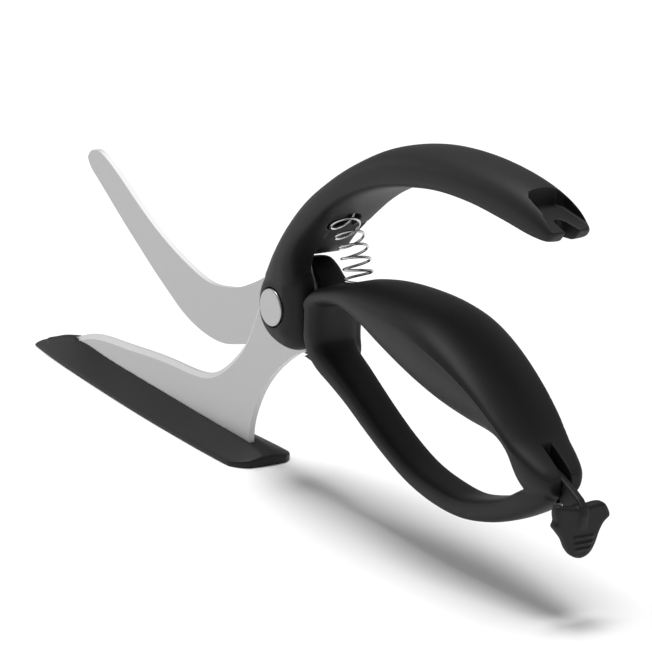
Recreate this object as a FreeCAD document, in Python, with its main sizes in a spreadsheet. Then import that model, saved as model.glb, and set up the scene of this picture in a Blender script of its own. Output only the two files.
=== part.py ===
import FreeCAD, Part
import math
import os
import Sketcher

# Sprung kitchen shears with a flat-soled lower blade.
# Frame: +X towards the handles, +Y away from the rivet's formed head, +Z up.
# The origin lies on the sole of the foot, half way along it.
# Every piece is drawn about the pivot and then placed by one Placement.

doc = FreeCAD.newDocument("shears")
sheet = doc.addObject("Spreadsheet::Sheet", "sizes")

SIZES = [
    ("pivot_ahead", 86.0, "pivot, ahead of the middle of the sole"),
    ("pivot_height", 57.0, "pivot above the sole"),
    ("blade_reach", 128.0, "pivot to blade tips"),
    ("grip_reach", 133.0, "pivot to the ends of the handles"),
    ("steel", 2.0, "blade thickness"),
    ("blade_gap", 0.06, "running gap between the blades"),
    ("bevel_width", 1.6, "cutting bevel, across the blade"),
    ("bevel_depth", 1.1, "cutting bevel, into the thickness"),
    ("cheek", 8.5, "thickness of each moulded cheek"),
    ("boss_radius", 14.5, "moulded boss round the pivot"),
    ("boss_round", 6.0, "rounded edge of the bosses"),
    ("web_round", 2.2, "rounded rim of the web"),
    ("lap_gap", 0.5, "gap round the bosses where the handles lap"),
    ("shank_radius", 3.2, "rivet shank"),
    ("shank_fit", 0.05, "running clearance on the shank"),
    ("head_radius", 5.9, "rivet heads"),
    ("head_sink", 1.2, "depth of the seats under the heads"),
    ("head_proud", 0.5, "height of the heads above the cheeks"),
    ("head_ring", 0.4, "ring gap round each head"),
    ("arch_width", 25.0, "upper handle, greatest width"),
    ("palm_width", 31.0, "lower handle, greatest width"),
    ("loop_width", 13.4, "lower bar of the finger loop"),
    ("foot_width", 23.2, "foot at its widest"),
    ("foot_length", 144.8, "foot, nose to heel"),
    ("foot_bed", 2.5, "plastic under the blade in the foot"),
    ("coil_radius", 4.3, "return spring, to the wire's centre"),
    ("wire_radius", 0.4, "return spring wire"),
    ("coil_turns", 6.5, "return spring turns"),
    ("seat_gap", 0.8, "gap round the spring in its seats"),
    ("lever_plate", 2.8, "latch lever thickness"),
    ("slot_gap", 0.35, "gap on each side of the lever"),
    ("latch_pin_radius", 1.3, "latch hinge pin"),
    ("pin_fit", 0.05, "running clearance on the latch pin"),
]
for row, (name, value, note) in enumerate(SIZES, start=1):
    sheet.set("A%d" % row, note)
    sheet.set("B%d" % row, str(value))
    sheet.setAlias("B%d" % row, name)
doc.recompute()


def size(name):
    return float(sheet.get(name))


STEEL = size("steel")
GAP = size("blade_gap")
CHEEK = size("cheek")
NEAR = -(STEEL + CHEEK)
FAR = GAP + STEEL + CHEEK
BOSS = size("boss_radius")
LAP = BOSS + size("lap_gap")
SOLE = -size("pivot_height")
FLOOR_OF_BLADE = SOLE + size("foot_bed")
PIVOT = FreeCAD.Vector(size("pivot_ahead"), 0, size("pivot_height"))
Y_AXIS = FreeCAD.Vector(0, 1, 0)
FUZZ = 1e-3

# Outlines are drawn for the nominal reach; beyond the hub they stretch with it.
HUB_FRONT = -30.0
HUB_BACK = 45.0
FRONT_STRETCH = (size("blade_reach") + HUB_FRONT) / (128.0 + HUB_FRONT)
BACK_STRETCH = (size("grip_reach") - HUB_BACK) / (133.0 - HUB_BACK)


def along(x):
    if x < HUB_FRONT:
        return HUB_FRONT + (x - HUB_FRONT) * FRONT_STRETCH
    if x > HUB_BACK:
        return HUB_BACK + (x - HUB_BACK) * BACK_STRETCH
    return x


def point(x, z, y=0.0):
    return FreeCAD.Vector(along(x), y, z)


def curve(points, y=0.0):
    spline = Part.BSplineCurve()
    spline.interpolate([point(x, z, y) for x, z in points])
    return spline.toShape()


def face_of(runs, y):
    """Face in a plane across Y from runs of points; each run is a smooth curve or a line."""
    edges = []
    for run in runs:
        if len(run) == 2:
            edges.append(Part.makeLine(point(*run[0], y), point(*run[1], y)))
        else:
            edges.append(curve(run, y))
    return Part.Face(Part.Wire(edges))


def drum(radius, y_low, y_high, x=0.0, z=0.0):
    return Part.makeCylinder(radius, y_high - y_low, FreeCAD.Vector(x, y_low, z), Y_AXIS)


def add_feature(name, shape):
    item = doc.addObject("Part::Feature", name)
    item.Label = name
    item.Shape = shape
    item.Placement = FreeCAD.Placement(PIVOT, FreeCAD.Rotation())
    return item


def origin_plane(body, role):
    return next(item for item in body.Origin.OriginFeatures if item.Role == role)


# --- The two blades: stamped sheet steel, one bevel each, pads of PartDesign bodies ---
LOWER_EDGE = [(-127.9, -45.5), (-116.4, -41.6), (-97.5, -39.6), (-78.9, -37.9), (-66.7, -37.3),
              (-54.7, -36.9), (-47.6, -35.8), (-43.0, -34.0), (-37.4, -30.4), (-31.9, -25.5),
              (-27.6, -20.7), (-24.5, -15.3), (-22.1, -9.7), (-19.0, -2.5)]
LOWER_BACK = [(2.8, -15.3), (-3.5, -19.7), (-10.4, -25.9), (-15.6, -32.3), (-19.2, -38.9),
              (-21.4, -45.5), (-21.8, -49.6)]
LOWER_TANG = [(-19.0, -2.5), (-14.0, 4.5), (-8.0, 12.0), (-1.0, 20.0), (5.0, 26.0)]
LOWER_HUB = [(8.6, 24.0), (5.6, 18.6), (6.0, 13.0), (9.4, 8.0), (11.4, 0.0), (10.6, -7.6),
             (7.4, -12.6), (2.8, -15.3)]
UPPER_EDGE = [(-127.6, 16.6), (-126.0, 14.3), (-122.0, 11.5), (-112.8, 5.8), (-103.0, -0.3),
              (-93.3, -6.0), (-83.6, -11.6), (-74.1, -16.6), (-66.6, -20.3), (-58.6, -22.9),
              (-49.6, -24.4), (-40.7, -24.2), (-33.3, -22.4), (-27.6, -20.7), (-16.0, -16.0), (-8.0, -12.0)]
UPPER_SPINE = [(-127.6, 16.6), (-125.4, 19.4), (-121.4, 20.3), (-117.4, 19.4), (-110.2, 16.3),
               (-94.1, 7.7), (-78.3, 0.5), (-65.9, -3.7), (-56.8, -6.0), (-49.6, -6.8), (-42.0, -5.8),
               (-34.6, -4.0), (-27.9, -1.1), (-22.3, 1.8), (-15.0, 6.6), (-8.0, 10.6), (-1.0, 11.6),
               (5.0, 9.6), (9.6, 7.0), (14.0, 4.8)]


def blade(name, runs, y_low, bevel_near):
    body = doc.addObject("PartDesign::Body", name + "_blank")
    outline = body.newObject("Sketcher::SketchObject", name + "_outline")
    outline.AttachmentSupport = [(origin_plane(body, "XZ_Plane"), "")]
    outline.MapMode = "FlatFace"
    for run in runs:
        ends = [FreeCAD.Vector(along(x), z, 0) for x, z in run]
        if len(run) == 2:
            outline.addGeometry(Part.LineSegment(ends[0], ends[1]))
        else:
            spline = Part.BSplineCurve()
            spline.interpolate(ends)
            outline.addGeometry(spline)
    bore = outline.addGeometry(Part.Circle(FreeCAD.Vector(0, 0, 0), FreeCAD.Vector(0, 0, 1), 3.0))
    outline.addConstraint(Sketcher.Constraint("Coincident", bore, 3, -1, 1))
    outline.addConstraint(Sketcher.Constraint("Radius", bore, 3.0))
    outline.renameConstraint(1, "bore")
    fit = "" if bevel_near else " + sizes.shank_fit"
    outline.setExpression("Constraints.bore", "(sizes.shank_radius%s) * 1 mm" % fit)
    pad = body.newObject("PartDesign::Pad", name + "_sheet")
    pad.Profile = outline
    pad.setExpression("Length", "sizes.steel * 1 mm")
    pad.Reversed = True
    doc.recompute()
    # The pad may grow either way from the sketch; its sheet is then moved to its own layer.
    low = pad.Shape.BoundBox.YMin
    shift = FreeCAD.Vector(0, y_low - low, 0)
    body.Placement = FreeCAD.Placement(PIVOT + shift, FreeCAD.Rotation())
    # The bevel is ground off along the cutting edge, on the face away from the other blade.
    face_y = y_low if bevel_near else y_low + STEEL
    away = -1.0 if bevel_near else 1.0
    path = curve(runs[0], face_y)
    start = path.valueAt(path.FirstParameter)
    tangent = path.tangentAt(path.FirstParameter)
    inward = Y_AXIS.cross(tangent) * (1.0 if bevel_near else -1.0)
    top = start + inward * size("bevel_width")
    slope = start - Y_AXIS * (away * size("bevel_depth")) - top
    corners = [top - slope * 0.25, top + slope * 1.6, top + slope * 1.6 + Y_AXIS * (away * 3.0)]
    stone = Part.BRepOffsetAPI.MakePipeShell(Part.Wire(path))
    stone.setBiNormalMode(Y_AXIS)
    stone.add(Part.makePolygon(corners + [corners[0]]))
    stone.build()
    stone.makeSolid()
    ground_off = add_feature(name + "_bevel", stone.shape())
    finished = doc.addObject("Part::Cut", name)
    finished.Base = body
    finished.Tool = ground_off
    finished.Label = name
    doc.recompute()
    return finished


NOSE = (-137.5, -50.3)
NOSE_FOOT = (-142.0, FLOOR_OF_BLADE)
HEEL_FOOT = (-21.8, FLOOR_OF_BLADE)
lower_runs = [LOWER_EDGE, LOWER_TANG, [(5.0, 26.0), (8.6, 24.0)], LOWER_HUB, LOWER_BACK,
              [(-21.8, -49.6), HEEL_FOOT], [HEEL_FOOT, NOSE_FOOT], [NOSE_FOOT, NOSE],
              [NOSE, (-127.9, -45.5)]]
TANG_TOP = [(14.0, 4.8), (20.0, 7.2), (28.0, 10.8), (36.0, 11.8), (46.0, 11.6)]
TANG_LOW = [(46.0, 8.8), (36.0, 9.0), (28.0, 8.2), (22.4, 5.8), (19.0, 1.0), (17.0, -6.0),
            (8.0, -10.8), (0.0, -13.4), (-8.0, -12.0)]
upper_runs = [UPPER_EDGE, TANG_LOW[::-1], [(46.0, 8.8), (46.0, 11.6)], TANG_TOP[::-1], UPPER_SPINE[::-1]]
lower_blade = blade("lower_blade", lower_runs, -STEEL, True)
upper_blade = blade("upper_blade", upper_runs, GAP, False)
doc.recompute()


def local_shape(item):
    """The piece as drawn about the pivot."""
    shape = item.Shape.copy()
    shape.translate(PIVOT.negative())
    return shape


# --- The foot: moulded shoe, a flat sole with sides sloping up to the blade ---
HEEL = -13.6
foot_stretch = size("foot_length") / 144.8
half_foot = size("foot_width") / 2.0
half_ridge = STEEL + 0.2


def foot_section(x, share, rise):
    half = max(half_foot * share, 0.4)
    ridge = min(half_ridge, half * 0.55)
    top = SOLE + rise
    rim = SOLE + min(1.6, rise * 0.45)
    corners = [(-half, SOLE - 1.0), (-half, rim), (-ridge, top),
               (ridge, top), (half, rim), (half, SOLE - 1.0)]
    place = HEEL + (x - HEEL) * foot_stretch
    loop = [FreeCAD.Vector(place, y, z) for y, z in corners]
    return Part.makePolygon(loop + [loop[0]])


foot_stations = [(-158.4, 0.03, 0.5), (-150.0, 0.15, 4.6), (-138.0, 0.30, 9.0), (-128.0, 0.40, 11.1),
                 (-113.0, 0.53, 10.3), (-95.0, 0.67, 9.0), (-73.0, 0.82, 7.9), (-50.0, 0.93, 6.8),
                 (-32.0, 0.99, 6.1), (-21.8, 1.0, 5.6), (-12.8, 0.985, 3.2)]
foot = Part.makeLoft([foot_section(*station) for station in foot_stations], True, False)
bed = Part.makeBox(220.0, 60.0, 40.0, FreeCAD.Vector(-200.0, -30.0, SOLE))
foot = foot.common(bed)
# The heel's corners are rounded in plan.
heel_half = half_foot * 0.985
corner = 4.5
heel_x = HEEL + 0.6
plan_points = [(-220.0, -30.0), (HEEL - 12.0, -30.0), (HEEL - 12.0, -heel_half - 0.4)]
side_near = [FreeCAD.Vector(x, y, SOLE) for x, y in plan_points]
bend_near = Part.Arc(side_near[2], FreeCAD.Vector(HEEL - 2.4, -heel_half + 1.5, SOLE),
                     FreeCAD.Vector(heel_x - 0.5, -heel_half + corner, SOLE)).toShape()
back = Part.Arc(FreeCAD.Vector(heel_x - 0.5, -heel_half + corner, SOLE),
                FreeCAD.Vector(heel_x, 0, SOLE),
                FreeCAD.Vector(heel_x - 0.5, heel_half - corner, SOLE)).toShape()
bend_far = bend_near.mirror(FreeCAD.Vector(0, 0, 0), Y_AXIS)
side_far = [FreeCAD.Vector(x, -y, SOLE) for x, y in plan_points[::-1]]
outline = [Part.makeLine(side_near[0], side_near[1]), Part.makeLine(side_near[1], side_near[2]),
           bend_near, back, bend_far,
           Part.makeLine(side_far[0], side_far[1]), Part.makeLine(side_far[1], side_far[2]),
           Part.makeLine(side_far[2], side_near[0])]
plan = Part.Face(Part.Wire(Part.__sortEdges__(outline)))
foot = foot.common(plan.extrude(FreeCAD.Vector(0, 0, 40.0)))
foot = foot.cut(local_shape(lower_blade))
blade_foot = add_feature("blade_foot", foot)


# --- Handle sections: an upper and a lower arc meeting at the widest line ---
def arc_half(middle, across, out, half, depth, fullness, steps=9):
    """One arc of a section, from one side to the other, bulging along out by depth."""
    points = []
    for step in range(steps + 1):
        angle = math.pi * step / steps
        wide = math.cos(angle)
        deep = math.sin(angle) if 0 < step < steps else 0.0
        wide = math.copysign(abs(wide) ** (2.0 / fullness), wide)
        deep = abs(deep) ** (2.0 / fullness)
        points.append(middle + across * (half * wide) + out * (depth * deep))
    spline = Part.BSplineCurve()
    spline.interpolate(points)
    return spline.toShape()


def section(middle, out, half, top, bottom, top_full, bottom_full):
    upper = arc_half(middle, Y_AXIS, out, half, top, top_full)
    lower = arc_half(middle, Y_AXIS, out.negative(), half, bottom, bottom_full)
    return Part.Wire([upper, lower])


# Front of the lower handle, round its boss and back to the finger loop.
WEB_TOP = [(0.0, 14.5), (5.6, 13.4), (10.0, 10.4), (14.4, 6.8), (18.6, 6.8), (23.4, 8.6)]
WEB_BACK = [(23.4, 8.6), (21.4, 4.0), (21.0, -3.0), (22.0, -11.0)]
WEB_LOW = [(22.0, -11.0), (20.0, -16.2), (14.5, -16.8), (7.5, -15.6), (0.0, -14.5)]
WEB_FRONT = [(0.0, -14.5), (-10.25, -10.25), (-14.5, 0.0), (-10.25, 10.25), (0.0, 14.5)]

# --- Upper handle: an arch from the near boss to a forked end ---
# Each station: inner point, outer point, share of the width.
ARCH = [
    ((9.4, 7.0), (-11.8, 8.0), 0.82),
    ((9.0, 15.6), (-5.0, 16.7), 0.90),
    ((12.8, 22.8), (4.2, 27.9), 0.98),
    ((21.4, 31.0), (13.9, 38.3), 1.03),
    ((31.0, 39.0), (25.0, 46.9), 1.06),
    ((41.5, 45.2), (36.7, 54.6), 1.06),
    ((54.0, 50.3), (50.8, 61.8), 1.03),
    ((67.5, 53.9), (65.9, 66.0), 1.0),
    ((82.0, 56.1), (81.8, 67.8), 0.95),
    ((97.4, 56.3), (98.3, 67.8), 0.89),
    ((112.0, 54.8), (114.2, 66.2), 0.81),
    ((123.0, 53.2), (126.2, 63.0), 0.72),
    ((129.6, 53.0), (133.0, 58.4), 0.62),
    ((131.4, 53.6), (134.0, 56.6), 0.50),
]
half_arch = size("arch_width") / 2.0
arch_wires = []
for inner, outer, share in ARCH:
    low = point(*inner)
    high = point(*outer)
    out = high.sub(low)
    depth = out.Length
    out.normalize()
    middle = low + out * (depth * 0.40)
    arch_wires.append(section(middle, out, half_arch * share, depth * 0.60, depth * 0.40, 2.3, 4.0))
arch = Part.makeLoft(arch_wires, True, False)
near_boss = drum(BOSS - 1.8, NEAR, -STEEL, 0.8)
near_rims = [edge for edge in near_boss.Edges if abs(edge.BoundBox.YMax - NEAR) < 0.01]
near_boss = near_boss.makeFillet(size("boss_round"), near_rims)
upper = arch.fuse([near_boss], FUZZ)

# Far half of the arch stays above the lapping boss of the other handle.
LAP_TOP = [(-30.0, 4.0), (-12.5, 8.6), (-6.0, 13.9), (0.0, 15.5), (5.0, 17.4), (9.6, 20.2),
           (13.2, 23.6), (16.4, 28.0), (18.0, 31.0)]
lap_runs = [LAP_TOP, [(18.0, 31.0), (45.0, 0.0)], [(45.0, 0.0), (-30.0, -30.0)],
            [(-30.0, -30.0), (-30.0, 4.0)]]
far_lap = face_of(lap_runs, -STEEL)
upper = upper.cut(far_lap.extrude(FreeCAD.Vector(0, 40.0, 0)))
upper = upper.cut(drum(LAP, -STEEL, 30.0))

# Spring seats: a round recess with a short peg in each handle.
SEAT_UP = FreeCAD.Vector(19.4, 0, 33.6)
SEAT_UP_DIR = FreeCAD.Vector(0.75, 0, -0.66)
SEAT_LOW = FreeCAD.Vector(31.9, 0, 12.6)
SEAT_LOW_DIR = FreeCAD.Vector(-0.19, 0, 0.98)
coil_outer = size("coil_radius") + size("wire_radius")
coil_inner = size("coil_radius") - size("wire_radius")
seat_radius = coil_outer + size("seat_gap")
peg_radius = coil_inner - size("seat_gap")


def seat(where, way, depth, peg):
    recess = Part.makeCylinder(seat_radius, depth, where, way)
    post = Part.makeCylinder(peg_radius, peg, where, way)
    return recess, post


recess, post = seat(SEAT_UP, SEAT_UP_DIR, 14.0, 3.6)
upper = upper.cut(recess).fuse(post)

# Forked end: a slit that widens to the tip, under an open-ended pocket.
half_slit = size("lever_plate") / 2.0 + size("slot_gap")
slit_x = along(127.8)
slit_plan = [(slit_x, -half_slit), (slit_x + 14.0, -half_slit * 2.2), (slit_x + 14.0, half_slit * 2.2),
             (slit_x, half_slit)]
slit_wire = Part.makePolygon([FreeCAD.Vector(x, y, 40.0) for x, y in slit_plan + slit_plan[:1]])
slit = Part.Face(slit_wire).extrude(FreeCAD.Vector(0, 0, 40.0))
slit = slit.fuse(Part.makeCylinder(half_slit, 40.0, FreeCAD.Vector(slit_x, 0, 40.0)))
pocket_plan = [(118.0, -4.2), (120.2, -5.9), (142.0, -6.9), (142.0, 7.9), (120.2, 6.9), (118.0, 5.2)]
pocket_points = [FreeCAD.Vector(along(x), y, 40.0) for x, y in pocket_plan + pocket_plan[:1]]
pocket = Part.Face(Part.makePolygon(pocket_points)).extrude(FreeCAD.Vector(0, 0, 40.0))
ramp_runs = [[(116.0, 60.2), (142.0, 55.0)], [(142.0, 55.0), (142.0, 79.0)],
             [(142.0, 79.0), (116.0, 79.0)], [(116.0, 79.0), (116.0, 60.2)]]
ramp = face_of(ramp_runs, -20.0)
pocket = pocket.common(ramp.extrude(FreeCAD.Vector(0, 40.0, 0)))
upper = upper.cut(slit).cut(pocket)

# Pivot bore, seat of the formed head, and the blade's tang moulded in.
upper = upper.cut(drum(size("shank_radius"), NEAR - 5.0, FAR + 5.0))
upper = upper.cut(drum(size("head_radius") + size("head_ring"), NEAR - 5.0, NEAR + size("head_sink")))
upper = upper.cut(local_shape(lower_blade))
upper_handle = add_feature("upper_handle", upper)

# --- Lower handle: palm bar, finger loop and the far boss ---
# Each station: x, top, bottom, height of the widest line, half width, fullness above and below.
PALM = [
    (12.0, 4.0, -2.0, 1.5, 8.4, 2.4, 2.4),
    (14.6, 6.6, 0.0, 3.5, 9.2, 2.4, 2.4),
    (17.0, 9.5, 2.0, 6.0, 9.8, 2.4, 2.4),
    (20.0, 11.4, 4.5, 8.0, 10.2, 2.4, 2.4),
    (24.0, 12.7, 6.2, 9.6, 10.6, 2.4, 2.3),
    (29.0, 14.4, 7.4, 11.2, 11.2, 2.3, 2.2),
    (36.0, 16.9, 7.4, 12.6, 12.0, 2.2, 2.0),
    (46.0, 19.0, 4.4, 13.4, 13.4, 2.2, 1.9),
    (58.0, 20.0, -1.4, 13.6, 14.6, 2.2, 1.8),
    (70.0, 20.0, -6.2, 13.4, 15.3, 2.1, 1.7),
    (82.0, 18.4, -9.4, 11.8, 15.5, 2.0, 1.6),
    (94.0, 14.0, -11.0, 8.4, 14.6, 2.0, 1.55),
    (106.0, 7.4, -11.6, 3.2, 13.3, 2.0, 1.55),
    (116.0, 0.2, -13.0, -2.8, 12.0, 2.1, 1.6),
    (121.6, -4.0, -16.4, -7.0, 11.1, 2.2, 1.7),
    (125.5, -6.7, -23.4, -10.0, 10.4, 2.4, 1.9),
    (131.0, -9.6, -24.0, -13.4, 9.3, 2.5, 2.0),
    (135.5, -12.4, -22.4, -15.6, 7.6, 2.6, 2.0),
    (138.0, -14.4, -20.8, -17.0, 5.4, 2.6, 2.2),
]
palm_share = size("palm_width") / 31.0
palm_wires = []
for x, top, bottom, widest, half, top_full, bottom_full in PALM:
    wire = section(point(x, widest), FreeCAD.Vector(0, 0, 1), half * palm_share,
                   top - widest, widest - bottom, top_full, bottom_full)
    palm_wires.append(wire)
palm = Part.makeLoft(palm_wires, True, False)

# Each station along the bar: x, z, half depth, half width.
LOOP = [
    (19.4, 8.0, 3.2, 8.8),
    (17.2, 3.0, 4.4, 9.4),
    (16.6, -3.0, 4.5, 9.2),
    (17.6, -8.4, 4.5, 8.4),
    (21.6, -12.4, 4.3, 7.9),
    (28.8, -15.8, 3.9, 7.5),
    (37.2, -20.0, 3.6, 7.0),
    (47.2, -25.3, 3.4, 6.8),
    (58.0, -30.4, 3.3, 6.7),
    (69.2, -34.5, 3.4, 6.7),
    (81.5, -36.7, 3.6, 6.8),
    (94.0, -37.0, 3.6, 6.8),
    (106.0, -34.4, 3.7, 7.0),
    (117.0, -30.2, 3.7, 7.2),
    (126.0, -25.2, 4.0, 7.3),
    (132.5, -21.4, 3.6, 6.8),
    (135.5, -20.0, 2.6, 6.0),
]
loop_share = size("loop_width") / 13.4
loop_wires = []
for index, (x, z, half_deep, half) in enumerate(LOOP):
    before = LOOP[max(index - 1, 0)]
    after = LOOP[min(index + 1, len(LOOP) - 1)]
    run = point(after[0], after[1]).sub(point(before[0], before[1]))
    out = FreeCAD.Vector(-run.z, 0, run.x)
    out.normalize()
    loop_wires.append(section(point(x, z), out, half * loop_share, half_deep, half_deep, 3.0, 2.2))
loop = Part.makeLoft(loop_wires, True, False)

web_face = face_of([WEB_TOP, WEB_BACK, WEB_LOW, WEB_FRONT], NEAR)
web = web_face.extrude(FreeCAD.Vector(0, FAR - NEAR, 0))
web_rims = [edge for edge in web.Edges if edge.BoundBox.YLength < 0.01]
web = web.makeFillet(size("web_round"), web_rims)
lower = palm.fuse([web, loop], FUZZ)
lower = lower.cut(drum(BOSS + 1.8, -40.0, GAP + STEEL))
recess, post = seat(SEAT_LOW, SEAT_LOW_DIR, 14.0, 3.4)
lower = lower.cut(recess).fuse(post)

# Slot of the latch lever, its hinge pin and the lever's sweep.
HINGE = point(131.0, -17.0)
SLOT = [(-4.2, 25.0), (-4.2, 0.0), (-3.4, -2.6), (-1.5, -3.35), (24.0, -15.24), (24.0, 25.0)]
slot_points = [HINGE + FreeCAD.Vector(x, -half_slit, z) for x, z in SLOT]
slot = Part.Face(Part.makePolygon(slot_points + [slot_points[0]])).extrude(Y_AXIS * (2 * half_slit))
lower = lower.cut(slot)
lower = lower.cut(drum(size("latch_pin_radius"), -30.0, 30.0, HINGE.x, HINGE.z))
lower = lower.cut(drum(size("shank_radius") + size("shank_fit"), -30.0, FAR + 5.0))
lower = lower.cut(drum(size("head_radius") + size("head_ring"), FAR - size("head_sink"), FAR + 5.0))
lower = lower.cut(local_shape(upper_blade))
lower_handle = add_feature("lower_handle", lower)

# --- Pivot: a formed rivet and the cap on its far end ---
seat_near = NEAR + size("head_sink")
seat_far = FAR - size("head_sink")
head_high = size("head_sink") + size("head_proud")
head = drum(size("head_radius"), seat_near - head_high, seat_near)
head_rims = [edge for edge in head.Edges if edge.BoundBox.YMax < seat_near - head_high + 0.01]
head = head.makeFillet(0.45, head_rims)
shank_end = seat_far + head_high * 0.6
rivet = head.fuse(drum(size("shank_radius"), seat_near - 0.4, shank_end))
pivot_rivet = add_feature("pivot_rivet", rivet.removeSplitter())
cap_low = seat_far + 0.08
cap = drum(size("head_radius"), cap_low, seat_far + head_high)
cap_rims = [edge for edge in cap.Edges if edge.BoundBox.YMin > seat_far + head_high - 0.01]
cap = cap.makeFillet(0.45, cap_rims)
cap = cap.cut(drum(size("shank_radius"), cap_low - 1.0, shank_end))
pivot_cap = add_feature("pivot_cap", cap)

# --- Return spring: a bent compression coil standing in the two seats ---
BEND = FreeCAD.Vector(30.2, 0, 24.6)


def spring_axis(share):
    start = SEAT_UP + SEAT_UP_DIR * size("wire_radius")
    end = SEAT_LOW + SEAT_LOW_DIR * size("wire_radius")
    here = start * (1 - share) ** 2 + BEND * (2 * share * (1 - share)) + end * share ** 2
    way = (BEND - start) * (1 - share) + (end - BEND) * share
    way.normalize()
    return here, way


steps = int(size("coil_turns") * 12)
wire_points = []
for step in range(steps + 1):
    share = step / steps
    here, way = spring_axis(share)
    side = way.cross(Y_AXIS)
    turn = 2 * math.pi * size("coil_turns") * share
    wire_points.append(here + (side * math.cos(turn) + Y_AXIS * math.sin(turn)) * size("coil_radius"))
path = Part.BSplineCurve()
path.interpolate(wire_points)
tangent = path.tangent(path.FirstParameter)[0]
ring = Part.Wire(Part.makeCircle(size("wire_radius"), wire_points[0], tangent))
spring = Part.Wire(path.toShape()).makePipeShell([ring], True, True)
return_spring = add_feature("return_spring", spring)

# --- Latch: a flat lever on a cross pin, with a thumb plate on its end ---
half_lever = size("lever_plate") / 2.0
arm_way = FreeCAD.Vector(math.cos(math.radians(25)), 0, -math.sin(math.radians(25)))
arm = Part.makeBox(15.2, 2 * half_lever, 6.6, FreeCAD.Vector(0, -half_lever, -3.3))
arm = arm.fuse(drum(3.3, -half_lever, half_lever))
arm.rotate(FreeCAD.Vector(0, 0, 0), Y_AXIS, 25)
arm.translate(HINGE)
plate_x = HINGE.x + 12.7
PLATE = [(-4.1, -20.9), (-9.1, -19.9), (-9.5, -22.1), (-9.1, -24.5), (-9.7, -26.1), (-8.3, -27.8),
         (-6.1, -30.5), (-4.7, -33.3), (-2.4, -35.9), (0.5, -36.9), (3.4, -35.9), (5.3, -33.3),
         (6.7, -29.5), (8.1, -27.1), (10.1, -25.3), (9.3, -22.9), (7.7, -21.1), (4.9, -20.7)]
plate_points = [FreeCAD.Vector(plate_x, y, z) for y, z in PLATE]
plate = Part.Face(Part.makePolygon(plate_points + [plate_points[0]])).extrude(FreeCAD.Vector(3.2, 0, 0))
lever = arm.fuse(plate)
for ridge in range(3):
    level = -33.8 + 1.8 * ridge
    rib = Part.makeCylinder(0.45, 5.4, FreeCAD.Vector(plate_x + 3.1, -2.2, level), Y_AXIS)
    lever = lever.fuse(rib)
lever = lever.cut(drum(size("latch_pin_radius") + size("pin_fit"), -30.0, 30.0, HINGE.x, HINGE.z))
latch_lever = add_feature("latch_lever", lever.removeSplitter())
pin = drum(size("latch_pin_radius"), -7.4, 7.4, HINGE.x, HINGE.z)
latch_pin = add_feature("latch_pin", pin)

# --- Check and write ---
pieces = [lower_blade, upper_blade, blade_foot, upper_handle, lower_handle, pivot_rivet, pivot_cap,
          return_spring, latch_lever, latch_pin]
doc.recompute()
for item in doc.Objects:
    if "Invalid" in item.State or "Error" in item.State:
        raise RuntimeError("%s did not build: %s" % (item.Label, item.State))
for item in pieces:
    if item.Shape.isNull() or not item.Shape.isValid():
        raise RuntimeError("%s has no valid shape" % item.Label)
    if len(item.Shape.Solids) != 1:
        raise RuntimeError("%s is in %d solids" % (item.Label, len(item.Shape.Solids)))
os.makedirs("parts", exist_ok=True)
for item in pieces:
    item.Shape.exportStep("parts/%s.step" % item.Label)
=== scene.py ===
import math

import bmesh
import bpy
from mathutils import Matrix, Vector


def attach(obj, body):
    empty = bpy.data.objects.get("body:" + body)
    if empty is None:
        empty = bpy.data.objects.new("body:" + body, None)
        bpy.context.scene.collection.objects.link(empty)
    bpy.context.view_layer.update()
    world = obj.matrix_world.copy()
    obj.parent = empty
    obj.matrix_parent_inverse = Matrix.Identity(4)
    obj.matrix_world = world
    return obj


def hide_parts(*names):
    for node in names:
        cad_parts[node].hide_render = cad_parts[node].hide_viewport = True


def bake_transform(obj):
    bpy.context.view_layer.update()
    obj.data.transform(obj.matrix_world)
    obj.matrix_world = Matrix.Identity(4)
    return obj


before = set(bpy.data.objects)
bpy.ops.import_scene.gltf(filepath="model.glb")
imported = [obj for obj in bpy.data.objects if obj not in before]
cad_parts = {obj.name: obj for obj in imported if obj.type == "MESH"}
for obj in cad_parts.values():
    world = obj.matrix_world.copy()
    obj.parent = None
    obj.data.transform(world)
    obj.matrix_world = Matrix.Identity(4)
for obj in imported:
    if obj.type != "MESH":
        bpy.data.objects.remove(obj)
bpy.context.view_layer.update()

# --- Blades ---
# Two blades stamped from 2 mm stainless sheet and ground along their length, each with one ground bevel.
# The grinding leaves fine grey scratches; the bevel and the cut edges carry a painted highlight, a lighter
# colour than the faces.
# They are the CAD pieces as they stand.
PER_METRE = 1000.0


def linear(hex_colour):
    """sRGB hex to linear RGBA."""
    parts = [int(hex_colour[i:i + 2], 16) / 255.0 for i in (0, 2, 4)]
    return [p / 12.92 if p <= 0.04045 else ((p + 0.055) / 1.055) ** 2.4 for p in parts] + [1.0]


def socket(node, name):
    """The enabled input of that name; a mix node holds one for each data type."""
    return next(item for item in node.inputs if item.enabled and item.name == name)


def result(node):
    return next(item for item in node.outputs if item.enabled)


def add_node(tree, kind, links=None, **settings):
    """Adds one shader node; settings name its properties or sockets, links its inputs."""
    node = tree.nodes.new(kind)
    for name, value in settings.items():
        if hasattr(node, name):
            setattr(node, name, value)
        else:
            node.inputs[name.replace("_", " ")].default_value = value
    for name, source in (links or {}).items():
        tree.links.new(source, socket(node, name) if isinstance(name, str) else node.inputs[name])
    return node


def new_material(name):
    material = bpy.data.materials.new(name)
    material.use_nodes = True
    tree = material.node_tree
    return material, tree, tree.nodes["Principled BSDF"]


def paint(obj, material):
    obj.data.materials.clear()
    obj.data.materials.append(material)
    for polygon in obj.data.polygons:
        polygon.material_index = 0


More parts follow.
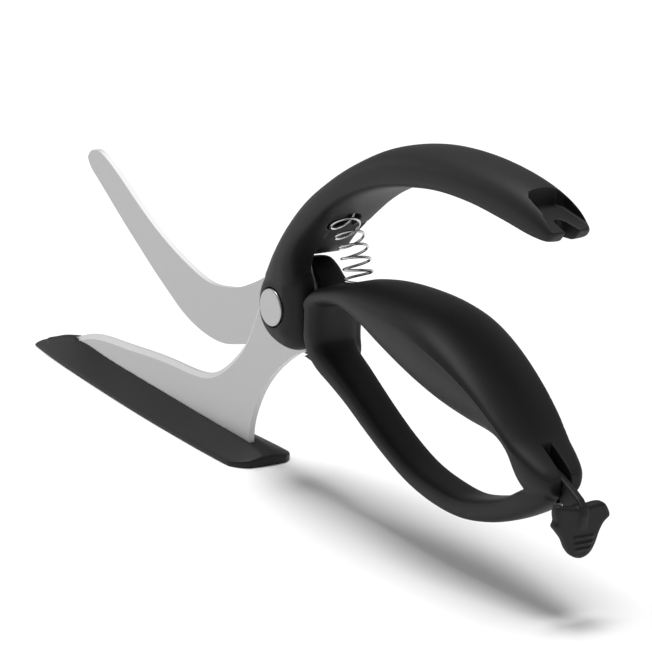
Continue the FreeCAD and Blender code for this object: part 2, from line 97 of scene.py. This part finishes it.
# Stainless sheet: scratches of the grinding, drawn out along the blade, given in cells per millimetre.
steel, tree, bsdf = new_material("ground_stainless_sheet")
bsdf.inputs["Metallic"].default_value = 1.0
where = add_node(tree, "ShaderNodeTexCoord")
stretch = add_node(tree, "ShaderNodeMapping", {"Vector": where.outputs["Object"]})
stretch.inputs["Scale"].default_value = (0.12 * PER_METRE, 0.9 * PER_METRE, 1.6 * PER_METRE)
lay = add_node(tree, "ShaderNodeTexNoise", {"Vector": stretch.outputs["Vector"]}, Scale=1.0, Detail=4.0)
speck = add_node(tree, "ShaderNodeTexNoise", {"Vector": where.outputs["Object"]},
                 Scale=1.5 * PER_METRE, Detail=2.0)
both = add_node(tree, "ShaderNodeMath", {0: lay.outputs["Fac"], 1: speck.outputs["Fac"]}, operation="ADD")
level = add_node(tree, "ShaderNodeMapRange", {"Value": both.outputs["Value"]})
level.inputs["From Min"].default_value = 0.6
level.inputs["From Max"].default_value = 1.4
level.inputs["To Min"].default_value = 0.30
level.inputs["To Max"].default_value = 0.44
tone = add_node(tree, "ShaderNodeMix", {"Factor": both.outputs["Value"]}, data_type="RGBA")
socket(tone, "A").default_value = linear("a4a4a5")
socket(tone, "B").default_value = linear("b0b0b1")
# The ground bevel and the cut edges face away from Y; they get a painted highlight, a lighter base colour,
# and are rougher than the faces.
shape = add_node(tree, "ShaderNodeNewGeometry")
parts = add_node(tree, "ShaderNodeSeparateXYZ", {"Vector": shape.outputs["True Normal"]})
flat = add_node(tree, "ShaderNodeMath", {0: parts.outputs["Y"]}, operation="ABSOLUTE")
painted_highlight_bevel_mask = add_node(tree, "ShaderNodeMapRange", {"Value": flat.outputs["Value"]})
painted_highlight_bevel_mask.inputs["From Min"].default_value = 0.97
painted_highlight_bevel_mask.inputs["From Max"].default_value = 0.85
# Painted highlight: the faces that turn away from Y blend towards near white.
bright = add_node(tree, "ShaderNodeMix", {"Factor": painted_highlight_bevel_mask.outputs["Result"], "A": result(tone)},
                  data_type="RGBA")
socket(bright, "B").default_value = linear("dcdcdc")
tree.links.new(result(bright), bsdf.inputs["Base Color"])
rough = add_node(tree, "ShaderNodeMix", {"Factor": painted_highlight_bevel_mask.outputs["Result"], "A": level.outputs["Result"]})
socket(rough, "B").default_value = 0.6
tree.links.new(result(rough), bsdf.inputs["Roughness"])
bump = add_node(tree, "ShaderNodeBump", {"Height": both.outputs["Value"]}, Strength=0.12, Distance=0.00005)
tree.links.new(bump.outputs["Normal"], bsdf.inputs["Normal"])
for name in ("lower_blade", "upper_blade"):
    paint(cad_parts[name], steel)

# --- Rivet, cap and latch pin ---
# Turned steel with a satin finish; the rivet is closed on its far cap, the pin crosses the lever's slot.
# A faint mottle in the roughness keeps the heads from looking like mirrors. All three are CAD pieces.
satin, tree, bsdf = new_material("satin_steel_pins")
bsdf.inputs["Metallic"].default_value = 1.0
bsdf.inputs["Base Color"].default_value = linear("b0b0b0")
where = add_node(tree, "ShaderNodeTexCoord")
speck = add_node(tree, "ShaderNodeTexNoise", {"Vector": where.outputs["Object"]},
                 Scale=0.9 * PER_METRE, Detail=3.0)
level = add_node(tree, "ShaderNodeMapRange", {"Value": speck.outputs["Fac"]})
level.inputs["To Min"].default_value = 0.25
level.inputs["To Max"].default_value = 0.45
tree.links.new(level.outputs["Result"], bsdf.inputs["Roughness"])
for name in ("pivot_rivet", "pivot_cap", "latch_pin"):
    paint(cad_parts[name], satin)

# --- Upper handle ---
# An arch in black nylon, moulded round the tang of the lower blade.
# Its boss takes the rivet; its forked end takes the latch.
# Sizes are millimetres about the pivot, as the pieces are drawn; row() places them in metres.
PIVOT = Vector((86.0, 0.0, 57.0))
NEAR = -10.5
FAR = 10.56
SHEET_NEAR = -2.0
BEYOND = 30.0
HALF_SLIT = 1.75
SLIT_X = 127.8


def row(x, y, z):
    return (Vector((x, y, z)) + PIVOT) / 1000.0


def smooth_line(points, per=6, closed=False):
    """Catmull-Rom line through points of any length of tuple."""
    points = [Vector(p) for p in points]
    count = len(points)
    line = []
    for i in range(count if closed else count - 1):
        if closed:
            a, b, c, d = (points[(i + k) % count] for k in (-1, 0, 1, 2))
        else:
            b, c = points[i], points[i + 1]
            a = points[i - 1] if i > 0 else b * 2 - c
            d = points[i + 2] if i + 2 < count else c * 2 - b
        for step in range(per):
            t = step / per
            line.append(0.5 * (2 * b + (c - a) * t + (2 * a - 5 * b + 4 * c - d) * t * t
                               + (3 * b - a - 3 * c + d) * t * t * t))
    if not closed:
        line.append(points[-1])
    return line


def mesh_object(name, points, faces):
    mesh = bpy.data.meshes.new(name)
    mesh.from_pydata([row(*p) for p in points], [], faces)
    mesh.update()
    build = bmesh.new()
    build.from_mesh(mesh)
    bmesh.ops.recalc_face_normals(build, faces=build.faces)
    build.to_mesh(mesh)
    build.free()
    item = bpy.data.objects.new(name, mesh)
    bpy.context.scene.collection.objects.link(item)
    return item


def skin(name, rings):
    """Closed shell through rings of equal count, capped at both ends."""
    count = len(rings[0])
    points = [p for ring in rings for p in ring]
    faces = [tuple(range(count)), tuple(range(len(points) - 1, len(points) - 1 - count, -1))]
    for r in range(len(rings) - 1):
        for i in range(count):
            j = (i + 1) % count
            faces.append((r * count + i, r * count + j, (r + 1) * count + j, (r + 1) * count + i))
    return mesh_object(name, points, faces)


def section_ring(x, z, out_x, out_z, half, top, bottom, top_full, bottom_full, count=56):
    ring = []
    for i in range(count):
        angle = 2 * math.pi * i / count
        wide = math.cos(angle)
        deep = math.sin(angle)
        full = top_full if deep >= 0 else bottom_full
        reach = top if deep >= 0 else bottom
        across = half * math.copysign(abs(wide) ** (2 / full), wide)
        lift = reach * math.copysign(abs(deep) ** (2 / full), deep)
        ring.append((x + out_x * lift, across, z + out_z * lift))
    return ring


def pillow(name, outline, y_low, y_high, round_low, round_high, steps=7, across=False):
    """Plate of an outline in X and Z, with rounded rims; across swaps X with Y."""
    ring = [Vector((p[0], 0, p[1])) for p in outline]
    count = len(ring)
    area = 0.0
    for i in range(count):
        following = ring[(i + 1) % count]
        area += ring[i].x * following.z - following.x * ring[i].z
    normals = []
    for i in range(count):
        run = (ring[(i + 1) % count] - ring[i - 1]).normalized()
        side = Vector((run.z, 0, -run.x))
        normals.append(side if area > 0 else -side)
    stations = [(y_low + round_low * (1 - math.cos(math.pi / 2 * k / steps)),
                 round_low * (1 - math.sin(math.pi / 2 * k / steps))) for k in range(steps + 1)]
    stations += [(y_high - round_high * (1 - math.cos(math.pi / 2 * k / steps)),
                  round_high * (1 - math.sin(math.pi / 2 * k / steps))) for k in range(steps, -1, -1)]
    rings = []
    for y, inset in stations:
        level = [(p.x - n.x * inset, y, p.z - n.z * inset) for p, n in zip(ring, normals)]
        rings.append([(y, x, z) for x, y, z in level] if across else level)
    return skin(name, rings)


def circle(x, z, radius, count=72):
    return [(x + radius * math.cos(2 * math.pi * i / count), z + radius * math.sin(2 * math.pi * i / count))
            for i in range(count)]


def cut_through(name, outline, y_low, y_high):
    return skin(name, [[(p[0], y, p[1]) for p in outline] for y in (y_low, y_high)])


def baked(item):
    """Applies the modifiers of an object to its mesh."""
    graph = bpy.context.evaluated_depsgraph_get()
    mesh = bpy.data.meshes.new_from_object(item.evaluated_get(graph))
    item.modifiers.clear()
    item.data = mesh
    return item


def drop(items):
    for item in items:
        bpy.data.objects.remove(item)


def moulded(name, shells, cutters, blend_steps, edge_steps, voxel=0.00034, beads=()):
    """Fuses shells, softens the joins, cuts the openings and rounds every edge a little."""
    build = bmesh.new()
    for shell in shells:
        build.from_mesh(shell.data)
    mesh = bpy.data.meshes.new(name)
    build.to_mesh(mesh)
    build.free()
    drop(shells)
    item = bpy.data.objects.new(name, mesh)
    bpy.context.scene.collection.objects.link(item)
    fuse = item.modifiers.new("fuse", "REMESH")
    fuse.mode = "VOXEL"
    fuse.voxel_size = voxel
    soften = item.modifiers.new("soften", "SMOOTH")
    soften.factor = 0.5
    soften.iterations = blend_steps
    clean = item.modifiers.new("clean", "REMESH")
    clean.mode = "VOXEL"
    clean.voxel_size = voxel
    baked(item)
    for cutter in cutters:
        cut = item.modifiers.new("cut", "BOOLEAN")
        cut.operation = "DIFFERENCE"
        cut.solver = "EXACT"
        cut.object = cutter
    baked(item)
    if beads:
        build = bmesh.new()
        build.from_mesh(item.data)
        for bead in beads:
            build.from_mesh(bead.data)
        build.to_mesh(item.data)
        build.free()
        drop(beads)
    again = item.modifiers.new("again", "REMESH")
    again.mode = "VOXEL"
    again.voxel_size = voxel * 0.8
    ease = item.modifiers.new("ease", "SMOOTH")
    ease.factor = 0.5
    ease.iterations = edge_steps
    baked(item)
    drop(cutters)
    for polygon in item.data.polygons:
        polygon.use_smooth = True
    return item


# Black nylon, injection moulded: fine spark-eroded texture, a soft satin sheen.
nylon, tree, bsdf = new_material("black_nylon_moulded")
bsdf.inputs["Roughness"].default_value = 0.55
bsdf.inputs["Specular IOR Level"].default_value = 0.32
where = add_node(tree, "ShaderNodeTexCoord")
shade = add_node(tree, "ShaderNodeTexNoise", {"Vector": where.outputs["Object"]},
                 Scale=0.035 * PER_METRE, Detail=3.0)
tint = add_node(tree, "ShaderNodeMix", {"Factor": shade.outputs["Fac"]}, data_type="RGBA")
socket(tint, "A").default_value = linear("0f0f10")
socket(tint, "B").default_value = linear("141415")
tree.links.new(result(tint), bsdf.inputs["Base Color"])
grain = add_node(tree, "ShaderNodeTexNoise", {"Vector": where.outputs["Object"]},
                 Scale=2.6 * PER_METRE, Detail=2.0)
bump = add_node(tree, "ShaderNodeBump", {"Height": grain.outputs["Fac"]}, Strength=0.18, Distance=0.00012)
tree.links.new(bump.outputs["Normal"], bsdf.inputs["Normal"])

# Stations along the arch: inner point, outer point, share of the width.
ARCH = [
    ((9.4, 7.0), (-11.8, 8.0), 0.82),
    ((9.0, 15.6), (-5.0, 16.7), 0.9),
    ((12.8, 22.8), (4.2, 27.9), 0.98),
    ((21.4, 31.0), (13.9, 38.3), 1.03),
    ((31.0, 39.0), (25.0, 46.9), 1.06),
    ((41.5, 45.2), (36.7, 54.6), 1.06),
    ((54.0, 50.3), (50.8, 61.8), 1.03),
    ((67.5, 53.9), (65.9, 66.0), 1.0),
    ((82.0, 56.1), (81.8, 67.8), 0.95),
    ((97.4, 56.3), (98.3, 67.8), 0.89),
    ((112.0, 54.8), (114.2, 66.2), 0.81),
    ((123.0, 53.2), (126.2, 63.0), 0.72),
    ((129.6, 53.0), (133.0, 58.4), 0.62),
    ((131.4, 53.6), (134.0, 56.6), 0.5),
]
HALF_ARCH = 12.5
rows = []
for inner, outer, share in ARCH:
    rows.append((inner[0], inner[1], outer[0], outer[1], HALF_ARCH * share))
rings = []
for ix, iz, ox, oz, half in smooth_line(rows, 6):
    depth = math.hypot(ox - ix, oz - iz)
    ux = (ox - ix) / depth
    uz = (oz - iz) / depth
    middle_x = ix + ux * depth * 0.4
    middle_z = iz + uz * depth * 0.4
    rings.append(section_ring(middle_x, middle_z, ux, uz, half, depth * 0.6, depth * 0.4, 2.3, 4.0))
arch = skin("arch", rings)
BOSS = [(1.0, 13.2), (-5.4, 11.7), (-10.2, 7.0), (-11.9, 0.0), (-10.2, -7.0), (-5.4, -11.4),
        (1.0, -13.2), (7.0, -12.8), (10.8, -9.6), (11.8, -4.0), (11.6, 4.0), (10.8, 10.0), (8.0, 13.0)]
near_boss = pillow("near_boss", smooth_line(BOSS, 6, True), NEAR, SHEET_NEAR, 7.6, 0.3)
# The far half stays above this line, clear of the other handle's boss.
LAP_TOP = [(-30.0, 4.0), (-12.5, 8.6), (-6.0, 13.9), (0.0, 15.3), (5.0, 17.0), (9.6, 19.6),
           (13.2, 23.0), (16.4, 28.0), (18.0, 31.0)]
lap_line = smooth_line(LAP_TOP, 5) + [(45.0, 0.0), (20.0, -30.0), (-30.0, -30.0)]
far_lap = cut_through("far_lap", lap_line, SHEET_NEAR, BEYOND)
LAP_RADIUS = 15.0
lap_drum = cut_through("lap_drum", circle(0, 0, LAP_RADIUS), SHEET_NEAR, BEYOND)
# The slit of the forked end starts round and widens to the tip.
slit_points = [(SLIT_X + HALF_SLIT * math.cos(math.radians(a)), HALF_SLIT * math.sin(math.radians(a)))
               for a in range(90, 271, 15)] + [(SLIT_X + 14.0, -3.85), (SLIT_X + 14.0, 3.85)]
slit = skin("slit", [[(x, y, z) for x, y in slit_points] for z in (45.0, 75.0)])
POCKET = [(118.0, -4.2), (120.2, -5.9), (142.0, -6.9), (142.0, 7.9), (120.2, 6.9), (118.0, 5.2)]
pocket_floor = [(x, y, 60.2 - 0.2 * (x - 116.0)) for x, y in POCKET]
pocket = skin("pocket", [pocket_floor, [(x, y, 75.0) for x, y in POCKET]])


def round_cut(name, x, z, radius, y_low, y_high):
    return cut_through(name, circle(x, z, radius, 48), y_low, y_high)


def seat_cut(name, where, way, radius, depth):
    """A round recess from where along way."""
    way = Vector(way).normalized()
    side = way.cross(Vector((0, 1, 0)))
    rings = []
    for reach in (0.0, depth):
        ring = []
        for i in range(40):
            angle = 2 * math.pi * i / 40
            ring.append(Vector(where) + way * reach + side * (radius * math.cos(angle))
                        + Vector((0, 1, 0)) * (radius * math.sin(angle)))
        rings.append([tuple(p) for p in ring])
    return skin(name, rings)


SEAT_UP = Vector((19.4, 0.0, 33.6))
SEAT_UP_WAY = Vector((0.75, 0.0, -0.66))
SEAT_RADIUS = 5.5
SEAT_DEPTH = 14.0
HEAD_RING = 6.3
HEAD_SINK = 1.2
upper_seat = seat_cut("upper_seat", SEAT_UP, SEAT_UP_WAY, SEAT_RADIUS, SEAT_DEPTH)
upper_handle = moulded("upper_handle_shell", [arch, near_boss],
                       [far_lap, lap_drum, slit, pocket, upper_seat,
                        round_cut("bore", 0, 0, 3.2, -20.0, 20.0),
                        round_cut("ring", 0, 0, HEAD_RING, -20.0, NEAR + HEAD_SINK)],
                       10, 2)
paint(upper_handle, nylon)
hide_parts("upper_handle")
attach(upper_handle, "lower_half")

# --- Lower handle ---
# A broad palm bar above a finger loop, in the same black nylon, round the tang of the upper blade.
# A soft crease runs along the palm bar's widest line; its end is slotted for the latch.
# Stations: x, top, bottom, height of the widest line, half width, fullness above and below.
PALM = [
    (12.0, 4.0, -2.0, 1.5, 8.4, 2.4, 2.4),
    (14.6, 6.6, 0.0, 3.5, 9.2, 2.4, 2.4),
    (17.0, 9.5, 2.0, 6.0, 9.8, 2.4, 2.4),
    (20.0, 11.4, 4.5, 8.0, 10.2, 2.4, 2.4),
    (24.0, 12.7, 6.2, 9.6, 10.6, 2.4, 2.3),
    (29.0, 14.4, 7.4, 11.2, 11.2, 2.3, 2.2),
    (36.0, 16.9, 7.4, 12.6, 12.0, 2.2, 2.0),
    (46.0, 19.0, 4.4, 13.4, 13.4, 2.2, 1.9),
    (58.0, 20.0, -1.4, 13.6, 14.6, 2.2, 1.8),
    (70.0, 20.0, -6.2, 13.4, 15.3, 2.1, 1.7),
    (82.0, 18.4, -9.4, 11.8, 15.5, 2.0, 1.6),
    (94.0, 14.0, -11.0, 8.4, 14.6, 2.0, 1.55),
    (106.0, 7.4, -11.6, 3.2, 13.3, 2.0, 1.55),
    (116.0, 0.2, -13.0, -2.8, 12.0, 2.1, 1.6),
    (121.6, -4.0, -16.4, -7.0, 11.1, 2.2, 1.7),
    (125.5, -6.7, -23.4, -10.0, 10.4, 2.4, 1.9),
    (131.0, -9.6, -24.0, -13.4, 9.3, 2.5, 2.0),
    (135.5, -12.4, -22.4, -15.6, 7.6, 2.6, 2.0),
    (138.0, -14.4, -20.8, -17.0, 5.4, 2.6, 2.2),
]
rings = [section_ring(x, widest, 0, 1, half, top - widest, widest - bottom, top_full, bottom_full)
         for x, top, bottom, widest, half, top_full, bottom_full in smooth_line(PALM, 6)]
palm = skin("palm", rings)
# Stations along the finger loop: x, z, half depth, half width.
LOOP = [
    (19.4, 8.0, 3.2, 8.8),
    (17.2, 3.0, 4.4, 9.4),
    (16.6, -3.0, 4.5, 9.2),
    (17.6, -8.4, 4.5, 8.4),
    (21.6, -12.4, 4.3, 7.9),
    (28.8, -15.8, 3.9, 7.5),
    (37.2, -20.0, 3.6, 7.0),
    (47.2, -25.3, 3.4, 6.8),
    (58.0, -30.4, 3.3, 6.7),
    (69.2, -34.5, 3.4, 6.7),
    (81.5, -36.7, 3.6, 6.8),
    (94.0, -37.0, 3.6, 6.8),
    (106.0, -34.4, 3.7, 7.0),
    (117.0, -30.2, 3.7, 7.2),
    (126.0, -25.2, 4.0, 7.3),
    (132.5, -21.4, 3.6, 6.8),
    (135.5, -20.0, 2.6, 6.0),
]
line = smooth_line(LOOP, 6)
rings = []
for i, (x, z, deep, half) in enumerate(line):
    ahead = line[min(i + 1, len(line) - 1)]
    behind = line[max(i - 1, 0)]
    run_x = ahead[0] - behind[0]
    run_z = ahead[1] - behind[1]
    length = math.hypot(run_x, run_z)
    rings.append(section_ring(x, z, -run_z / length, run_x / length, half, deep, deep, 3.4, 2.2))
loop = skin("loop", rings)
FAR_WEB = [(0.0, 14.6), (5.6, 13.5), (10.3, 10.4), (14.5, 9.0), (20.0, 10.4), (25.6, 9.6), (22.4, 6.0),
           (20.4, 0.0), (20.2, -6.0), (21.0, -11.0), (19.0, -16.2), (14.5, -16.4), (7.5, -15.4),
           (0.0, -14.6), (-10.3, -10.3), (-14.6, 0.0), (-10.3, 10.3)]
# The crease: a fine bead along the widest line on each side.
BEAD_RADIUS = 0.34
beads = []
for side in (-1, 1):
    rings = []
    edge = [(x, side * (half - 0.12), widest)
            for x, top, bottom, widest, half, top_full, bottom_full in smooth_line(PALM, 6)
            if 74.0 < x < 131.0]
    for i, (x, y, z) in enumerate(edge):
        wide = BEAD_RADIUS * min(1.0, (i + 1) / 8, (len(edge) - i) / 6)
        rings.append([(x, y + wide * math.cos(a * math.pi / 5), z + wide * math.sin(a * math.pi / 5))
                      for a in range(10)])
    beads.append(skin("bead", rings))
far_web = pillow("far_web", smooth_line(FAR_WEB, 4, True), SHEET_NEAR, FAR, 0.4, 2.2)
# Plastic reaches in to the plane between the blades and covers the edge of the sheet.
HUB_CLEAR = 16.3
near_drum = cut_through("near_drum", circle(0, 0, HUB_CLEAR, 96), -BEYOND, 0.25)
slot_line = [(128.0, 10.0), (127.0, -17.0), (127.6, -19.6), (129.5, -20.35), (155.0, -32.2), (155.0, 10.0)]
slot_cut = cut_through("slot", slot_line, -HALF_SLIT, HALF_SLIT)
HINGE_X = 131.0
HINGE_Z = -17.0
SEAT_LOW = Vector((31.9, 0.0, 12.6))
SEAT_LOW_WAY = Vector((-0.19, 0.0, 0.98))
lower_seat = seat_cut("lower_seat", SEAT_LOW, SEAT_LOW_WAY, SEAT_RADIUS, SEAT_DEPTH)
lower_handle = moulded("lower_handle_shell", [palm, loop, far_web],
                       [near_drum, slot_cut, lower_seat,
                        round_cut("pin_bore", HINGE_X, HINGE_Z, 1.3, -7.4, 7.4),
                        round_cut("bore", 0, 0, 3.3, -20.0, 20.0),
                        round_cut("ring", 0, 0, HEAD_RING, FAR - HEAD_SINK, 20.0)],
                       10, 2, beads=beads)
paint(lower_handle, nylon)
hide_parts("lower_handle")
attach(lower_handle, "upper_half")

# --- Return spring ---
# A bent compression coil of bright drawn wire; each end stands in a round seat of a handle.
wire_steel, tree, bsdf = new_material("bright_spring_wire")
bsdf.inputs["Metallic"].default_value = 1.0
bsdf.inputs["Base Color"].default_value = linear("c8c8c8")
bsdf.inputs["Roughness"].default_value = 0.2

COIL_TOP = SEAT_UP + SEAT_UP_WAY * 0.4
COIL_FOOT = SEAT_LOW + SEAT_LOW_WAY * 0.4
BEND = Vector((30.2, 0.0, 24.6))
TURNS = 6.5
COIL = 4.3
WIRE = 0.42
wire_line = []
for i in range(int(TURNS * 28) + 1):
    share = i / (TURNS * 28)
    here = COIL_TOP * (1 - share) ** 2 + BEND * (2 * share * (1 - share)) + COIL_FOOT * share ** 2
    way = ((BEND - COIL_TOP) * (1 - share) + (COIL_FOOT - BEND) * share).normalized()
    side = way.cross(Vector((0, 1, 0)))
    turn = 2 * math.pi * TURNS * share
    wire_line.append(here + (side * math.cos(turn) + Vector((0, 1, 0)) * math.sin(turn)) * COIL)
rings = []
for i, here in enumerate(wire_line):
    way = (wire_line[min(i + 1, len(wire_line) - 1)] - wire_line[max(i - 1, 0)]).normalized()
    side = way.cross(Vector((0.3, 0.1, 1.0))).normalized()
    lift = side.cross(way)
    rings.append([tuple(here + (side * math.cos(a * math.pi / 6) + lift * math.sin(a * math.pi / 6)) * WIRE)
                  for a in range(12)])
spring = skin("spring_coil", rings)
for polygon in spring.data.polygons:
    polygon.use_smooth = True
paint(spring, wire_steel)
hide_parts("return_spring")
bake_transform(spring)

# --- Latch lever ---
# One black nylon piece: a knuckle on the pin, a short arm and a spade-shaped thumb plate with ridges.
# It swings up in the slot of the lower handle to catch the forked end of the upper handle.
HALF_LEVER = 1.4
knuckle = pillow("knuckle", circle(HINGE_X, HINGE_Z, 3.3, 40), -HALF_LEVER, HALF_LEVER, 0.4, 0.4, 3)
ARM = [(129.6, -14.0), (132.2, -13.9), (139.0, -16.3), (147.0, -21.0), (146.6, -28.6), (143.6, -26.6),
       (137.0, -22.4), (131.4, -20.3)]
arm = pillow("arm", smooth_line(ARM, 3, True), -HALF_LEVER, HALF_LEVER, 0.7, 0.7, 4)
PLATE = [(-4.1, -20.9), (-7.1, -20.1), (-9.1, -19.9), (-9.5, -22.1), (-9.1, -24.5), (-9.7, -26.1),
         (-8.3, -27.8), (-6.1, -30.5), (-4.7, -33.3), (-2.4, -35.9), (0.5, -36.9), (3.4, -35.9),
         (5.3, -33.3), (6.7, -29.5), (8.1, -27.1), (10.1, -25.3), (9.3, -22.9), (7.7, -21.1),
         (4.9, -20.7), (0.5, -21.1)]
plate = pillow("plate", smooth_line(PLATE, 4, True), 143.6, 146.8, 0.5, 1.3, 5, True)
PLATE_MIDDLE = 0.5
HALF_RIDGE = 0.35
ridges = []
for z, half in ((-30.2, 3.6), (-32.0, 3.2), (-33.8, 2.6)):
    left = PLATE_MIDDLE - half
    right = PLATE_MIDDLE + half
    ridge = [(left, z - HALF_RIDGE), (right, z - HALF_RIDGE), (right, z + HALF_RIDGE), (left, z + HALF_RIDGE)]
    ridges.append(pillow("ridge", ridge, 146.2, 147.3, 0.1, 0.35, 3, True))
pin_hole = round_cut("hole", HINGE_X, HINGE_Z, 1.35, -9.0, 9.0)
latch = moulded("latch_shell", [knuckle, arm, plate] + ridges, [pin_hole], 0, 2, 0.00024)
paint(latch, nylon)
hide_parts("latch_lever")
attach(latch, "latch")

# --- Blade foot ---
# A long flat sole in the same black nylon, moulded on the lower edge of the lower blade.
foot_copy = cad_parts["blade_foot"].copy()
foot_copy.data = foot_copy.data.copy()
bpy.context.scene.collection.objects.link(foot_copy)
# A low ridge covers the nose of the blade; it runs along the middle of the sheet.
SHEET_MIDDLE = -1.0
HOOD = [(-147.0, -51.8), (-142.0, -50.0), (-137.0, -48.2), (-132.0, -46.9), (-128.0, -46.2)]
rings = []
for x, z in smooth_line(HOOD, 4):
    ring = section_ring(x, z, 0, 1, 1.7, 0.9, 0.9, 2.0, 2.0, 16)
    rings.append([(x, y + SHEET_MIDDLE, z) for x, y, z in ring])
hood = skin("hood", rings)
foot = moulded("foot_shell", [foot_copy, hood], [], 3, 3)
paint(foot, nylon)
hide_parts("blade_foot")
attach(foot, "lower_half")

# --- Studio ---
# A white paper floor under a white sky, a broad overhead light that throws the long soft shadow, and a
# square panel that lights the blades' faces.
world = bpy.data.worlds.new("studio")
world.use_nodes = True
world.node_tree.nodes["Background"].inputs["Color"].default_value = (1.0, 1.0, 1.0, 1.0)
world.node_tree.nodes["Background"].inputs["Strength"].default_value = 0.32
bpy.context.scene.world = world
bpy.context.scene.view_settings.view_transform = "Standard"

floor_mesh = bpy.data.meshes.new("floor")
floor_mesh.from_pydata([(-6, -6, 0), (6, -6, 0), (6, 6, 0), (-6, 6, 0)], [], [(0, 1, 2, 3)])
floor = bpy.data.objects.new("floor", floor_mesh)
bpy.context.scene.collection.objects.link(floor)
paper, tree, bsdf = new_material("white_paper_sweep")
bsdf.inputs["Base Color"].default_value = linear("f4f4f4")
bsdf.inputs["Roughness"].default_value = 0.8
paint(floor, paper)

sky = bpy.data.lights.new("overhead_light", "SUN")
sky.energy = 2.85
sky.angle = math.radians(24.0)
lamp = bpy.data.objects.new("overhead_light", sky)
bpy.context.scene.collection.objects.link(lamp)
lamp.rotation_euler = Vector((0.13, 0.02, -1.0)).to_track_quat("-Z", "Y").to_euler()

panel = bpy.data.lights.new("side_panel", "AREA")
panel.shape = "SQUARE"
panel.size = 0.5
panel.energy = 1.0
lamp = bpy.data.objects.new("side_panel", panel)
bpy.context.scene.collection.objects.link(lamp)
panel_way = Vector((-0.786, -0.455, 0.414))
lamp.location = Vector((0.05, 0.0, 0.03)) + panel_way * 0.9
lamp.rotation_euler = (-panel_way).to_track_quat("-Z", "Y").to_euler()

# --- Camera ---
# A three-quarter view from the handles' end, a little above, with a long lens.
AZIMUTH = math.radians(55.1)
ELEVATION = math.radians(16.5)
ROLL = math.radians(2.68)
AIM = PIVOT / 1000.0
back = Vector((math.sin(AZIMUTH) * math.cos(ELEVATION), -math.cos(AZIMUTH) * math.cos(ELEVATION),
               math.sin(ELEVATION)))
flat_right = Vector((math.cos(AZIMUTH), math.sin(AZIMUTH), 0.0))
flat_up = back.cross(flat_right)
right = math.cos(ROLL) * flat_right + math.sin(ROLL) * flat_up
up = -math.sin(ROLL) * flat_right + math.cos(ROLL) * flat_up
lens_mm = 233.9
distance = 1.309
camera_data = bpy.data.cameras.new("camera")
camera_data.sensor_width = 36.0
camera_data.lens = lens_mm
camera_data.clip_end = 50.0
camera = bpy.data.objects.new("camera", camera_data)
bpy.context.scene.collection.objects.link(camera)
# The pivot stands a little left of and above the middle of the frame.
offset_right = -0.00822
offset_up = 0.00702
turn = Matrix((right, up, back)).transposed().to_4x4()
place = AIM + back * distance - right * offset_right - up * offset_up
camera.matrix_world = Matrix.Translation(place) @ turn
bpy.context.scene.camera = camera
